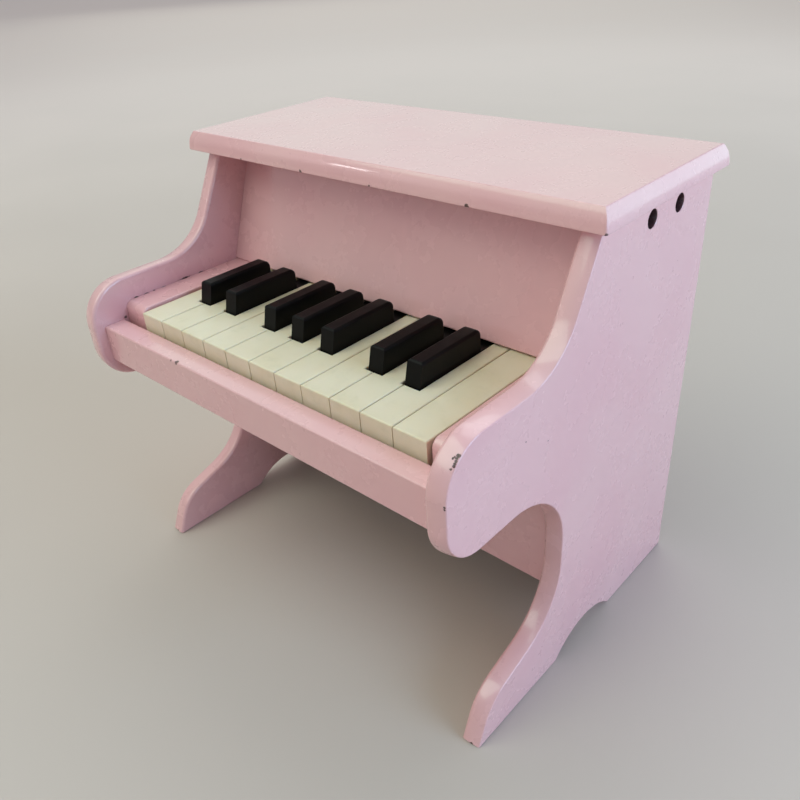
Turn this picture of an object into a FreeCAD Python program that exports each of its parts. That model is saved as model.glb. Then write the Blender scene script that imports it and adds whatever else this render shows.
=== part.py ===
import FreeCAD, Part
import os
import re
import Sketcher

# An upright toy piano: a painted wooden case, eighteen hinged keys, and behind the
# fallboard an action of hinged hammers under a row of metal chime bars.
# Millimetres. +Z is up, the keyboard faces -Y and the origin is on the floor, under
# the middle of the object's box. "fwd" is a distance forward from the rear of the case.

SIZES = {
    # Case
    "side_thick": 11,
    "lid_overhang": 7,
    "lid_front_overhang": 10.3,
    "lid_thick": 11.3,
    "lid_top_round": 5,
    "lid_edge_round": 0.8,
    # Outline of a side panel
    "brow_fwd": 113.5,
    "brow_slant": 30,
    "arm_rise": 15.3,
    "arm_depth": 63.7,
    "leg_fwd": 133,
    "ankle_height": 47.1,
    "toe_length": 74,
    "toe_slant": 11.6,
    "toe_top_height": 26.9,
    "arm_sweep_round": 40,
    "nose_top_round": 26,
    "nose_under_round": 23,
    "armpit_round": 44,
    "leg_sweep_round": 44,
    "toe_round": 30,
    "arch_fwd": 101.5,
    "arch_span": 56,
    "arch_rise": 11.4,
    "sound_hole_size": 9,
    "sound_hole_fwd": 52.8,
    "sound_hole_spacing": 28.5,
    "sound_hole_drop": 10.2,
    "inner_edge_round": 2.5,
    "outer_edge_round": 2,
    # Boards between the sides
    "slip_inset": 6.8,
    "slip_thick": 13.8,
    "slip_drop": 9.5,
    "slip_round": 1.2,
    "bed_under": 153,
    "bed_thick": 9,
    "left_cheek_width": 19.9,
    "right_cheek_width": 15.6,
    "cheek_front_gap": 3,
    "cheek_lift": 1,
    "cheek_round": 5,
    "fall_foot_fwd": 116,
    "fall_height": 73,
    "fall_lean": 20,
    "fall_thick": 8,
    "knee_panel_inset": 5,
    "knee_panel_thick": 7,
    "knee_panel_height": 100.5,
    "back_inset": 3,
    "back_thick": 4,
    "back_bottom": 20,
    # Keyboard
    "white_pitch": 20.5,
    "white_length": 87.5,
    "key_gap": 0.6,
    "left_key_gap": 2.2,
    "right_key_gap": 0.8,
    "key_front_gap": 1.5,
    "key_tuck": 8,
    "key_lift": 9,
    "key_height": 15,
    "key_round": 0.8,
    "key_dip": 3.3,
    "black_width": 9.6,
    "black_length": 49,
    "black_setback": 7,
    "black_rise": 12.4,
    "black_front_slope": 3,
    "black_tail_drop": 0.5,
    "black_offset": 2.7,
    "black_round": 1.6,
    "black_back_round": 4,
    "notch_left": 2,
    "notch_right": 0.6,
    "notch_front": 0.8,
    # Action
    "key_axle_setback": 8,
    "key_axle_size": 4,
    "running_gap": 0.05,
    "lever_height": 10,
    "lever_width": 7,
    "lever_end_room": 17,
    "key_hub_size": 9,
    "hub_gap": 0.5,
    "capstan_room": 20,
    "capstan_width": 5,
    "capstan_thick": 4,
    "capstan_gap": 0.3,
    "hammer_axle_room": 9,
    "hammer_lift": 26,
    "hammer_axle_size": 3,
    "hammer_hub_size": 8,
    "hammer_arm_height": 5,
    "hammer_arm_width": 6,
    "hammer_head_size": 10,
    "hammer_head_width": 8,
    "hammer_head_lift": 7.4,
    "hammer_throw": 20,
    "strike_offset": 5,
    "strike_gap": 0.4,
    "bracket_thick": 6,
    "bracket_gap": 0.6,
    "bracket_front_room": 2,
    "bracket_rear_room": 1,
    # Chime bars
    "chime_rear_room": 8,
    "chime_front_room": 29,
    "chime_step": 1.4,
    "chime_width": 9,
    "chime_thick": 2.5,
    "chime_rail_spread": 33,
    "chime_rail_width": 6,
    "chime_rail_height": 8,
    "chime_felt_thick": 2,
    "pin_size": 1.6,
    "pin_head_size": 3.6,
    "pin_head_height": 1,
    "pin_depth": 6,
    "pin_slack": 0.5,
    # Stops and screws
    "rest_rail_room": 35,
    "rest_rail_width": 8,
    "rest_felt_thick": 2.5,
    "stop_gap": 0.15,
    "stop_felt_setback": 14.5,
    "stop_felt_width": 12,
    "screw_size": 3,
    "screw_length": 16,
    "screw_head_size": 6,
    "screw_head_height": 1.8,
    "screw_margin": 14,
}

# Lengths that follow from the sizes above.
DERIVED = {
    # Widths, from the keyboard out to the case
    "key_span": "WHITE_COUNT * white_pitch",
    "inner_width": "left_cheek_width + left_key_gap + key_span + right_key_gap + right_cheek_width",
    "case_width": "inner_width + 2 * side_thick",
    "key_left": "left_cheek_width + left_key_gap - inner_width / 2",
    "hub_width": "NARROW_LANE * white_pitch - hub_gap",
    # Heights, from the key bed up to the lid and down to the knee panel
    "bed_top": "bed_under + bed_thick",
    "key_under": "bed_top + key_lift",
    "key_top": "key_under + key_height",
    "cheek_top": "key_top + cheek_lift",
    "slip_top": "key_top - slip_drop",
    "case_height": "cheek_top + fall_height",
    "arm_top": "cheek_top + arm_rise",
    "arm_under": "arm_top - arm_depth",
    "knee_panel_bottom": "bed_under - knee_panel_height",
    # Depths, from the fallboard forward to the slip and back to the keys' tails
    "key_front_fwd": "fall_foot_fwd + white_length",
    "slip_rear_fwd": "key_front_fwd + key_front_gap",
    "slip_fwd": "slip_rear_fwd + slip_thick",
    "case_depth": "slip_fwd + slip_inset",
    "cheek_fwd": "slip_rear_fwd - cheek_front_gap",
    "black_back_fwd": "fall_foot_fwd + black_setback",
    "black_front_fwd": "black_back_fwd + black_length",
    "key_tail_fwd": "fall_foot_fwd - key_tuck",
    "key_axle_fwd": "key_tail_fwd - key_axle_setback",
    "lid_depth": "brow_fwd + lid_front_overhang",
    "arm_fold_fwd": "brow_fwd + brow_slant",
    "toe_fwd": "leg_fwd + toe_length",
    "toe_top_fwd": "toe_fwd - toe_slant",
    "knee_panel_fwd": "leg_fwd - knee_panel_inset",
    "back_front_fwd": "back_inset + back_thick",
    "fall_depth": "fall_thick / cos(fall_lean)",
    "fall_rear_fwd": "fall_foot_fwd - fall_depth",
    "fall_top_fwd": "fall_foot_fwd - fall_height * tan(fall_lean)",
    # Rounds of the side outline, each kept within the straight stretches that it joins
    "arm_length": "case_depth - arm_fold_fwd",
    "arm_reach": "case_depth - leg_fwd",
    "leg_length": "arm_under - ankle_height",
    "arm_sweep_fillet": "min(arm_sweep_round; WIDE_SHARE * arm_length)",
    "nose_top_fillet": "min(nose_top_round; NARROW_SHARE * arm_length; NARROW_SHARE * arm_depth)",
    "nose_under_fillet": "min(nose_under_round; NARROW_SHARE * arm_reach; NARROW_SHARE * arm_depth)",
    "armpit_fillet": "min(armpit_round; WIDE_SHARE * arm_reach; WIDE_SHARE * leg_length)",
    "leg_sweep_fillet": "min(leg_sweep_round; WIDE_SHARE * leg_length)",
    "arch_radius": "(arch_span * arch_span / 4 + arch_rise * arch_rise) / (2 * arch_rise)",
    # Action, from the back panel forward and from the key axle up
    "key_axle_height": "key_under + lever_height / 2",
    "lever_end_fwd": "back_front_fwd + lever_end_room",
    "capstan_fwd": "back_front_fwd + capstan_room",
    "hammer_axle_fwd": "back_front_fwd + hammer_axle_room",
    "hammer_axle_height": "key_axle_height + hammer_lift",
    "capstan_top": "hammer_axle_height - hammer_arm_height / 2 - capstan_gap",
    "chime_rear_fwd": "back_front_fwd + chime_rear_room",
    "chime_longest": "fall_foot_fwd - chime_front_room - chime_rear_fwd",
    "chime_fwd": "chime_rear_fwd + chime_longest / 2",
    "hammer_reach": "chime_fwd + strike_offset - hammer_axle_fwd",
    "head_rise": "hammer_reach * sin(hammer_throw) + hammer_head_lift * cos(hammer_throw)",
    "chime_under": "hammer_axle_height + head_rise + hammer_head_size / 2 + strike_gap",
    "chime_rail_top": "chime_under - chime_felt_thick",
    "bracket_top": "chime_rail_top - chime_rail_height",
    "bracket_rear_fwd": "back_front_fwd + bracket_rear_room",
    "bracket_front_fwd": "fall_rear_fwd - bracket_front_room",
    "bracket_left": "key_left + FIRST_LANE * white_pitch - hub_width / 2 - bracket_gap - bracket_thick",
    "bracket_right": "key_left + LAST_LANE * white_pitch + hub_width / 2 + bracket_gap",
    "action_width": "bracket_right + bracket_thick - bracket_left",
    "rest_rail_fwd": "back_front_fwd + rest_rail_room",
    "rest_felt_bottom": "key_under - stop_gap - rest_felt_thick",
    "stop_felt_fwd": "key_front_fwd - stop_felt_setback",
    "stop_travel": "(stop_felt_fwd + stop_felt_width / 2 - key_axle_fwd) * tan(key_dip)",
    "stop_felt_thick": "key_lift - stop_travel - stop_gap",
}

KEY_COUNT = 18
OCTAVE = "wbwbwwbwbwbw"
NOTES = (OCTAVE * 2)[:KEY_COUNT]
WHITE_COUNT = NOTES.count("w")
SCREW_COUNT = 5
TOUCH = 0.01
WORD = re.compile(r"[A-Za-z][A-Za-z_]+")


def lane_centre(note):
    """Middle of a note's lever in white-key widths from the left of the keyboard.

    The five levers from C to E share three white keys and the seven from F to B share four.
    """
    octave, step = divmod(note, 12)
    if step < 5:
        return octave * 7 + (step + 0.5) * 3 / 5
    return octave * 7 + 3 + (step - 5 + 0.5) * 4 / 7


# Plain numbers that the formulas use: counts, lanes in white-key widths, and shares of a stretch.
COUNTS = {
    "WHITE_COUNT": WHITE_COUNT,
    "FIRST_LANE": lane_centre(0),
    "LAST_LANE": lane_centre(KEY_COUNT - 1),
    "NARROW_LANE": 4 / 7,
    "WIDE_SHARE": 0.55,
    "NARROW_SHARE": 0.42,
}

doc = FreeCAD.newDocument("toy_piano")
sheet = doc.addObject("Spreadsheet::Sheet", "Sizes")
for row, (alias, size) in enumerate(SIZES.items(), start=1):
    sheet.set("A%d" % row, alias)
    sheet.set("B%d" % row, str(size))
    sheet.setAlias("B%d" % row, alias)
doc.recompute()
nodes = []


def expand(text):
    """Turn a formula in plain size names into one that reads the sheet's cells."""
    def swap(match):
        word = match.group(0)
        if word in DERIVED:
            return "(" + expand(DERIVED[word]) + ")"
        if word in COUNTS:
            return repr(COUNTS[word])
        return "Sizes." + word if word in SIZES else word
    return WORD.sub(swap, str(text))


def value(text):
    """Present value of a formula."""
    return float(sheet.evalExpression(expand(text)))


def bind(thing, prop, text):
    """Bind a property to a formula over the sheet."""
    thing.setExpression(prop, expand(text))


def place(thing, left, y, bottom):
    """Bind the three coordinates of a Placement."""
    for axis, text in zip("xyz", (left, y, bottom)):
        bind(thing, "Placement.Base." + axis, text)


def keep(thing, label):
    """Name a finished sub-part and put it on the list to write."""
    thing.Label = label
    nodes.append(thing)
    return thing


def new_sketch(body, role, lift=None):
    """Sketch on one of a body's origin planes, raised along the plane's normal."""
    sketch = body.newObject("Sketcher::SketchObject", body.Name + "_sketch")
    plane = next(item for item in body.Origin.OriginFeatures if item.Role == role)
    sketch.AttachmentSupport = [(plane, "")]
    sketch.MapMode = "FlatFace"
    if lift is not None:
        bind(sketch, "AttachmentOffset.Base.z", lift)
    return sketch


def pin_point(sketch, geometry, point, across, up):
    """Dimension one point of a sketch from the sketch's origin."""
    for kind, text in (("DistanceX", across), ("DistanceY", up)):
        rule = Sketcher.Constraint(kind, -1, 1, geometry, point, value(text))
        bind(sketch, "Constraints[%d]" % sketch.addConstraint(rule), text)


def outline(sketch, corners):
    """Closed polygon, each corner dimensioned from the sketch's origin."""
    points = [FreeCAD.Vector(value(across), value(up), 0) for across, up in corners]
    count = len(points)
    for start, end in zip(points, points[1:] + points[:1]):
        sketch.addGeometry(Part.LineSegment(start, end), False)
    for line in range(count):
        sketch.addConstraint(Sketcher.Constraint("Coincident", line, 2, (line + 1) % count, 1))
    for line, (across, up) in enumerate(corners):
        pin_point(sketch, line, 1, across, up)


def circle(sketch, across, up, radius):
    """Circle with its centre and radius dimensioned."""
    centre = FreeCAD.Vector(value(across), value(up), 0)
    shape = Part.Circle(centre, FreeCAD.Vector(0, 0, 1), value(radius))
    geometry = sketch.addGeometry(shape, False)
    rule = Sketcher.Constraint("Radius", geometry, value(radius))
    bind(sketch, "Constraints[%d]" % sketch.addConstraint(rule), radius)
    pin_point(sketch, geometry, 3, across, up)


def pad(body, sketch, length, symmetric=False):
    """Add material along the sketch's normal."""
    feature = body.newObject("PartDesign::Pad", body.Name + "_pad")
    feature.Profile = sketch
    feature.SideType = "Symmetric" if symmetric else "One side"
    bind(feature, "Length", length)
    return feature


def drill(body, sketch):
    """Cut a sketch right through a body and make sure that it removed something."""
    doc.recompute()
    before = body.Tip.Shape.Volume
    feature = body.newObject("PartDesign::Pocket", body.Name + "_pocket")
    feature.Profile = sketch
    feature.Type = "ThroughAll"
    feature.SideType = "Symmetric"
    doc.recompute()
    if feature.Shape.Volume > before - TOUCH:
        raise RuntimeError(body.Label + ": the pocket cuts nothing")


def round_edges(body, radius, chosen):
    """Fillet the edges of a body that pass a test."""
    doc.recompute()
    base = body.Tip
    edges = enumerate(base.Shape.Edges, start=1)
    names = ["Edge%d" % number for number, edge in edges if chosen(edge)]
    if not names:
        raise RuntimeError(body.Label + ": no edge to round")
    feature = body.newObject("PartDesign::Fillet", body.Name + "_fillet")
    feature.Base = (base, names)
    bind(feature, "Radius", radius)


def ends(edge):
    """First and last point of an edge."""
    return [vertex.Point for vertex in edge.Vertexes]


def middle(edge):
    """Point halfway along an edge."""
    return edge.valueAt((edge.FirstParameter + edge.LastParameter) / 2)


def cross_edge(fwd, height):
    """Test for the edge that runs across a profile piece at one of its corners."""
    y, z = -value(fwd), value(height)

    def chosen(edge):
        return all(abs(p.y - y) < TOUCH and abs(p.z - z) < TOUCH for p in ends(edge))
    return chosen


def at_height(height):
    """Test for the edges that lie level at one height."""
    z = value(height)

    def chosen(edge):
        return all(abs(p.z - z) < TOUCH for p in ends(edge) + [middle(edge)])
    return chosen


def above(height):
    """Test for the edges that lie wholly above a height."""
    z = value(height)

    def chosen(edge):
        return all(p.z > z + TOUCH for p in ends(edge))
    return chosen


def profile_piece(label, corners, width, left=None):
    """Piece with one side profile, given as (fwd, height) corners.

    It is centred across the case, or starts at left.
    """
    body = doc.addObject("PartDesign::Body", label)
    sketch = new_sketch(body, "YZ_Plane")
    outline(sketch, [("-(%s)" % fwd, height) for fwd, height in corners])
    pad(body, sketch, width, symmetric=left is None)
    place(body, left or "0", "case_depth / 2", "0")
    return keep(body, label)


def rectangle(rear, front, bottom, top):
    """Corners of a rectangular profile."""
    return [(rear, bottom), (front, bottom), (front, top), (rear, top)]


def block(name, left, width, rear, depth, bottom, height):
    """Plain box from its left side, rear distance and underside."""
    box = doc.addObject("Part::Box", name)
    bind(box, "Length", width)
    bind(box, "Width", depth)
    bind(box, "Height", height)
    place(box, left, "case_depth / 2 - (%s) - (%s)" % (rear, depth), bottom)
    return box


def rod(name, size, length, left, fwd, height):
    """Round bar along X."""
    bar = upright(name, size, length, left, fwd, height)
    bar.Placement.Rotation = FreeCAD.Rotation(FreeCAD.Vector(0, 1, 0), 90)
    return bar


def upright(name, size, length, x, fwd, bottom):
    """Round bar along Z."""
    bar = doc.addObject("Part::Cylinder", name)
    bind(bar, "Radius", "(%s) / 2" % size)
    bind(bar, "Height", length)
    place(bar, x, "case_depth / 2 - (%s)" % fwd, bottom)
    return bar


def lengthwise(name, size, length, x, rear, height):
    """Round bar along -Y, starting at a distance forward from the rear."""
    bar = upright(name, size, length, x, rear, height)
    bar.Placement.Rotation = FreeCAD.Rotation(FreeCAD.Vector(1, 0, 0), 90)
    return bar


def compound(name, things):
    """Several solids as one object."""
    group = doc.addObject("Part::Compound", name)
    group.Links = things
    return group


def join(kind, name, base, tool):
    """Part::Cut or Part::Fuse of two objects."""
    result = doc.addObject(kind, name)
    result.Base = base
    result.Tool = tool
    return result


def side_panel(label, left, inner_face):
    """Side of the case, cut from one board: arm, leg and foot in a single sweep."""
    corners = [
        ("0", "0"),
        ("0", "case_height"),
        ("brow_fwd", "case_height"),
        ("arm_fold_fwd", "arm_top"),
        ("case_depth", "arm_top"),
        ("case_depth", "arm_under"),
        ("leg_fwd", "arm_under"),
        ("leg_fwd", "ankle_height"),
        ("toe_top_fwd", "toe_top_height"),
        ("toe_fwd", "0"),
    ]
    radii = [
        "arm_sweep_fillet",
        "nose_top_fillet",
        "nose_under_fillet",
        "armpit_fillet",
        "leg_sweep_fillet",
        "toe_round",
    ]
    body = profile_piece(label, corners, "side_thick", left)
    for corner, radius in zip(corners[3:9], radii):
        round_edges(body, radius, cross_edge(*corner))
    holes = new_sketch(body, "YZ_Plane")
    circle(holes, "-arch_fwd", "arch_rise - arch_radius", "arch_radius")
    for side in ("-", "+"):
        fwd = "sound_hole_fwd %s sound_hole_spacing / 2" % side
        circle(holes, "-(%s)" % fwd, "case_height - sound_hole_drop", "sound_hole_size / 2")
    drill(body, holes)
    brow, leg, ankle = value("brow_fwd"), value("leg_fwd"), value("ankle_height")

    def front_edge(face):
        def chosen(edge):
            mid = middle(edge)
            on_face = all(abs(p.x - face) < TOUCH for p in ends(edge) + [mid])
            upper = mid.z > ankle and -mid.y > brow - TOUCH
            foot = mid.z > TOUCH and -mid.y > leg - TOUCH
            return on_face and (upper or foot)
        return chosen
    thick = value("side_thick")
    round_edges(body, "inner_edge_round", front_edge(thick if inner_face == "right" else 0))
    round_edges(body, "outer_edge_round", front_edge(0 if inner_face == "right" else thick))


def lid():
    """Top board, overhanging the sides and the front, softly rounded above."""
    corners = rectangle("0", "lid_depth", "case_height", "case_height + lid_thick")
    body = profile_piece("lid", corners, "case_width + 2 * lid_overhang")
    round_edges(body, "lid_top_round", at_height("case_height + lid_thick"))
    round_edges(body, "lid_edge_round", at_height("case_height"))


def fallboard():
    """Board behind the keys, leaning back from the cheek blocks to the lid."""
    corners = [
        ("fall_rear_fwd", "cheek_top"),
        ("fall_foot_fwd", "cheek_top"),
        ("fall_top_fwd", "case_height"),
        ("fall_top_fwd - fall_depth", "case_height"),
    ]
    profile_piece("fallboard", corners, "inner_width")


def key_slip():
    """Rail across the front of the keys."""
    corners = rectangle("slip_rear_fwd", "slip_fwd", "bed_under", "slip_top")
    body = profile_piece("key_slip", corners, "inner_width")
    for fwd, height in corners[1:]:
        round_edges(body, "slip_round", cross_edge(fwd, height))


def cheek_blocks():
    """Blocks that fill the space between the end keys and the sides."""
    corners = rectangle("fall_rear_fwd", "cheek_fwd", "bed_top", "cheek_top")
    widths = {
        "left_cheek_block": ("-inner_width / 2", "inner_width / 2 + key_left - left_key_gap"),
        "right_cheek_block": (
            "key_left + key_span + right_key_gap",
            "inner_width / 2 - key_left - key_span - right_key_gap",
        ),
    }
    for label, (left, width) in widths.items():
        body = profile_piece(label, corners, width, left)
        round_edges(body, "cheek_round", cross_edge("cheek_fwd", "cheek_top"))


def boards():
    """Key bed, knee panel and back panel, with the screws that hold the back on."""
    shanks, heads, holes = [], [], []
    for number in range(SCREW_COUNT):
        share = 2 * number / (SCREW_COUNT - 1) - 1
        x = "%r * (inner_width / 2 - screw_margin)" % share
        height = "bed_under + bed_thick / 2"
        hole_size = "screw_size + 2 * running_gap"
        reach = "screw_length + running_gap"
        name = "screw_%d" % number
        shanks.append(lengthwise(name, "screw_size", "screw_length", x, "back_inset", height))
        holes.append(lengthwise(name + "_hole", hole_size, reach, x, "back_inset", height))
        rear = "back_inset - screw_head_height"
        heads.append(lengthwise(name + "_head", "screw_head_size", "screw_head_height", x, rear, height))
    hole_group = compound("screw_holes", holes)
    left = "-inner_width / 2"
    bed = block("bed_board", left, "inner_width", "back_front_fwd", "slip_rear_fwd - back_front_fwd",
                "bed_under", "bed_thick")
    keep(join("Part::Cut", "key_bed", bed, hole_group), "key_bed")
    back = block("back_board", left, "inner_width", "back_inset", "back_thick",
                 "back_bottom", "case_height - back_bottom")
    keep(join("Part::Cut", "back_panel", back, hole_group), "back_panel")
    screws = join("Part::Fuse", "back_panel_screws", compound("screw_shanks", shanks),
                  compound("screw_heads", heads))
    keep(screws, "back_panel_screws")
    knee = block("knee_panel", left, "inner_width", "knee_panel_fwd - knee_panel_thick",
                 "knee_panel_thick", "knee_panel_bottom", "bed_under - knee_panel_bottom")
    keep(knee, "knee_panel")


def key_edge(white, side):
    """Left (0) or right (1) limit of a white key, in the keyboard's own line."""
    return "key_left + %d * white_pitch %s key_gap / 2" % (white + side, "-" if side else "+")


def black_centre(note):
    """Middle of a black key's top."""
    return "key_left + %r * white_pitch + black_offset" % lane_centre(note)


def key_tail(body):
    """Lever behind the visible key: hub on the axle, arm to the rear and the capstan on its end."""
    lever = new_sketch(body, "XY_Plane", "-lever_height / 2")
    tail = "key_axle_fwd - key_tail_fwd"
    end = "key_axle_fwd - lever_end_fwd"
    half = "lever_width / 2"
    outline(lever, [("-" + half, tail), (half, tail), (half, end), ("-" + half, end)])
    pad(body, lever, "lever_height")
    hub = new_sketch(body, "YZ_Plane")
    circle(hub, "0", "0", "key_hub_size / 2")
    pad(body, hub, "hub_width", symmetric=True)
    post = new_sketch(body, "YZ_Plane")
    rear = "key_axle_fwd - capstan_fwd + capstan_thick / 2"
    front = "key_axle_fwd - capstan_fwd - capstan_thick / 2"
    crown = "capstan_top - key_axle_height - capstan_thick / 2"
    outline(post, [(front, "0"), (rear, "0"), (rear, crown), (front, crown)])
    pad(body, post, "capstan_width", symmetric=True)
    top = new_sketch(body, "YZ_Plane")
    circle(top, "key_axle_fwd - capstan_fwd", crown, "capstan_thick / 2")
    pad(body, top, "capstan_width", symmetric=True)
    bore = new_sketch(body, "YZ_Plane")
    circle(bore, "0", "0", "key_axle_size / 2 + running_gap")
    drill(body, bore)


def key_body(label, note):
    """Empty body of a key with its origin on the key axle, in the middle of its lever."""
    body = doc.addObject("PartDesign::Body", label)
    lane = "key_left + %r * white_pitch" % lane_centre(note)
    place(body, lane, "case_depth / 2 - key_axle_fwd", "key_axle_height")
    return keep(body, label), lane


def white_key(label, note, white):
    """Key with a full-width front, notched beside its black neighbours."""
    body, lane = key_body(label, note)
    left, right = key_edge(white, 0), key_edge(white, 1)
    neck_left, neck_right = left, right
    if note > 0 and NOTES[note - 1] == "b":
        neck_left = "%s + black_width / 2 + notch_right" % black_centre(note - 1)
    if note + 1 < KEY_COUNT and NOTES[note + 1] == "b":
        neck_right = "%s - black_width / 2 - notch_left" % black_centre(note + 1)
    front = "key_axle_fwd - key_front_fwd"
    notch = "key_axle_fwd - black_front_fwd - notch_front"
    tail = "key_axle_fwd - key_tail_fwd"
    corners = [(left, front), (right, front)]
    corners += [(right, notch)] if neck_right != right else []
    corners += [(neck_right, notch)] if neck_right != right else []
    corners += [(neck_right, tail), (neck_left, tail)]
    corners += [(neck_left, notch), (left, notch)] if neck_left != left else []
    top = new_sketch(body, "XY_Plane", "key_under - key_axle_height")
    outline(top, [("%s - (%s)" % (x, lane), y) for x, y in corners])
    pad(body, top, "key_height")
    round_edges(body, "key_round", at_height("key_top - key_axle_height"))
    key_tail(body)


def black_key(label, note):
    """Raised key: a block on a lower stem that runs back under the fallboard."""
    body, _ = key_body(label, note)
    front = "key_axle_fwd - black_front_fwd"
    raised_end = "key_axle_fwd - black_back_fwd"
    tail = "key_axle_fwd - key_tail_fwd"
    left, right = "black_offset - black_width / 2", "black_offset + black_width / 2"
    base = "key_under - key_axle_height"
    top = "key_top + black_rise - key_axle_height"
    slope_foot = "key_top - black_tail_drop - key_axle_height"
    raised = new_sketch(body, "YZ_Plane", left)
    outline(raised, [
        (front, base),
        (front, slope_foot),
        (front + " + black_front_slope", top),
        (raised_end, top),
        (raised_end, base),
    ])
    pad(body, raised, "black_width")
    round_edges(body, "black_back_round", cross_edge("black_back_fwd - key_axle_fwd", top))
    round_edges(body, "black_round", above("key_top - key_axle_height"))
    stem = new_sketch(body, "XY_Plane", base)
    outline(stem, [(left, front), (right, front), (right, tail), (left, tail)])
    pad(body, stem, "key_height - black_tail_drop")
    key_tail(body)


def hammer(label, note):
    """Pivoted arm with a round head that strikes its chime bar from below."""
    body = doc.addObject("PartDesign::Body", label)
    lane = "key_left + %r * white_pitch" % lane_centre(note)
    place(body, lane, "case_depth / 2 - hammer_axle_fwd", "hammer_axle_height")
    arm = new_sketch(body, "YZ_Plane")
    half = "hammer_arm_height / 2"
    tip = "-hammer_reach - hammer_arm_height / 2"
    outline(arm, [(tip, "-" + half), ("0", "-" + half), ("0", half), (tip, half)])
    pad(body, arm, "hammer_arm_width", symmetric=True)
    neck = new_sketch(body, "YZ_Plane")
    neck_rear = "-hammer_reach + hammer_arm_height / 2"
    lift = "hammer_head_lift"
    outline(neck, [(tip, "0"), (neck_rear, "0"), (neck_rear, lift), (tip, lift)])
    pad(body, neck, "hammer_arm_width", symmetric=True)
    head = new_sketch(body, "YZ_Plane")
    circle(head, "-hammer_reach", lift, "hammer_head_size / 2")
    pad(body, head, "hammer_head_width", symmetric=True)
    hub = new_sketch(body, "YZ_Plane")
    circle(hub, "0", "0", "hammer_hub_size / 2")
    pad(body, hub, "hub_width", symmetric=True)
    bore = new_sketch(body, "YZ_Plane")
    circle(bore, "0", "0", "hammer_axle_size / 2 + running_gap")
    drill(body, bore)
    keep(body, label)


def keys_and_hammers():
    """Every key from left to right, each with its hammer."""
    whites = blacks = 0
    for note, kind in enumerate(NOTES):
        if kind == "w":
            white_key("white_key_%02d" % (whites + 1), note, whites)
            whites += 1
        else:
            blacks += 1
            black_key("black_key_%02d" % blacks, note)
        hammer("hammer_%02d" % (note + 1), note)


def action_frame():
    """End brackets of the action with the two axles that the keys and hammers turn on."""
    corners = [
        ("bracket_rear_fwd", "bed_top"),
        ("bracket_front_fwd", "bed_top"),
        ("bracket_front_fwd", "cheek_top"),
        ("bracket_front_fwd - (bracket_top - cheek_top) * tan(fall_lean)", "bracket_top"),
        ("bracket_rear_fwd", "bracket_top"),
    ]
    for side in ("left", "right"):
        body = profile_piece(side + "_action_bracket", corners, "bracket_thick", "bracket_" + side)
        holes = new_sketch(body, "YZ_Plane")
        circle(holes, "-key_axle_fwd", "key_axle_height", "key_axle_size / 2 + running_gap")
        circle(holes, "-hammer_axle_fwd", "hammer_axle_height", "hammer_axle_size / 2 + running_gap")
        drill(body, holes)
    keep(rod("key_axle", "key_axle_size", "action_width", "bracket_left",
             "key_axle_fwd", "key_axle_height"), "key_axle")
    keep(rod("hammer_axle", "hammer_axle_size", "action_width", "bracket_left",
             "hammer_axle_fwd", "hammer_axle_height"), "hammer_axle")


def chimes():
    """Chime bars, longest at the left, pinned over two felted rails."""
    bars, bar_holes, shafts, heads, pin_holes = [], [], [], [], []
    pin_bottom = "chime_rail_top - pin_depth"
    pin_length = "pin_depth + chime_felt_thick + chime_thick + pin_slack"
    head_bottom = "chime_under + chime_thick + pin_slack"
    for note in range(KEY_COUNT):
        lane = "key_left + %r * white_pitch" % lane_centre(note)
        length = "chime_longest - %d * chime_step" % note
        rear = "chime_fwd - (%s) / 2" % length
        name = "chime_%02d" % (note + 1)
        bars.append(block(name, lane + " - chime_width / 2", "chime_width", rear, length,
                          "chime_under", "chime_thick"))
        for side in ("-", "+"):
            fwd = "chime_fwd %s chime_rail_spread / 2" % side
            wide = "pin_size + 2 * pin_slack"
            snug = "pin_size + 2 * running_gap"
            bar_holes.append(upright(name + "_hole", wide, pin_length, lane, fwd, pin_bottom))
            pin_holes.append(upright(name + "_seat", snug, pin_length, lane, fwd, pin_bottom))
            shafts.append(upright(name + "_pin", "pin_size", pin_length, lane, fwd, pin_bottom))
            heads.append(upright(name + "_cap", "pin_head_size", "pin_head_height", lane, fwd,
                                 head_bottom))
    seats = compound("pin_seats", pin_holes)
    keep(join("Part::Cut", "chime_bars", compound("chime_blanks", bars),
              compound("chime_holes", bar_holes)), "chime_bars")
    keep(join("Part::Fuse", "chime_pins", compound("pin_shafts", shafts),
              compound("pin_caps", heads)), "chime_pins")
    strips = []
    for label, side in (("rear_chime_rail", "-"), ("front_chime_rail", "+")):
        rear = "chime_fwd %s chime_rail_spread / 2 - chime_rail_width / 2" % side
        rail = block(label + "_bar", "bracket_left", "action_width", rear, "chime_rail_width",
                     "bracket_top", "chime_rail_height")
        keep(join("Part::Cut", label, rail, seats), label)
        strips.append(block(label + "_felt", "bracket_left", "action_width", rear, "chime_rail_width",
                            "chime_rail_top", "chime_felt_thick"))
    keep(join("Part::Cut", "chime_felts", compound("felt_strips", strips), seats), "chime_felts")


def stops():
    """Felted rail that the levers rest on, and the felt that stops the fronts of the keys."""
    left, width = "bracket_left + bracket_thick", "action_width - 2 * bracket_thick"
    rear = "rest_rail_fwd - rest_rail_width / 2"
    keep(block("key_rest_rail", left, width, rear, "rest_rail_width", "bed_top",
               "rest_felt_bottom - bed_top"), "key_rest_rail")
    keep(block("key_rest_felt", left, width, rear, "rest_rail_width", "rest_felt_bottom",
               "rest_felt_thick"), "key_rest_felt")
    keep(block("key_stop_felt", "key_left", "key_span", "stop_felt_fwd - stop_felt_width / 2",
               "stop_felt_width", "bed_top", "stop_felt_thick"), "key_stop_felt")


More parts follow.
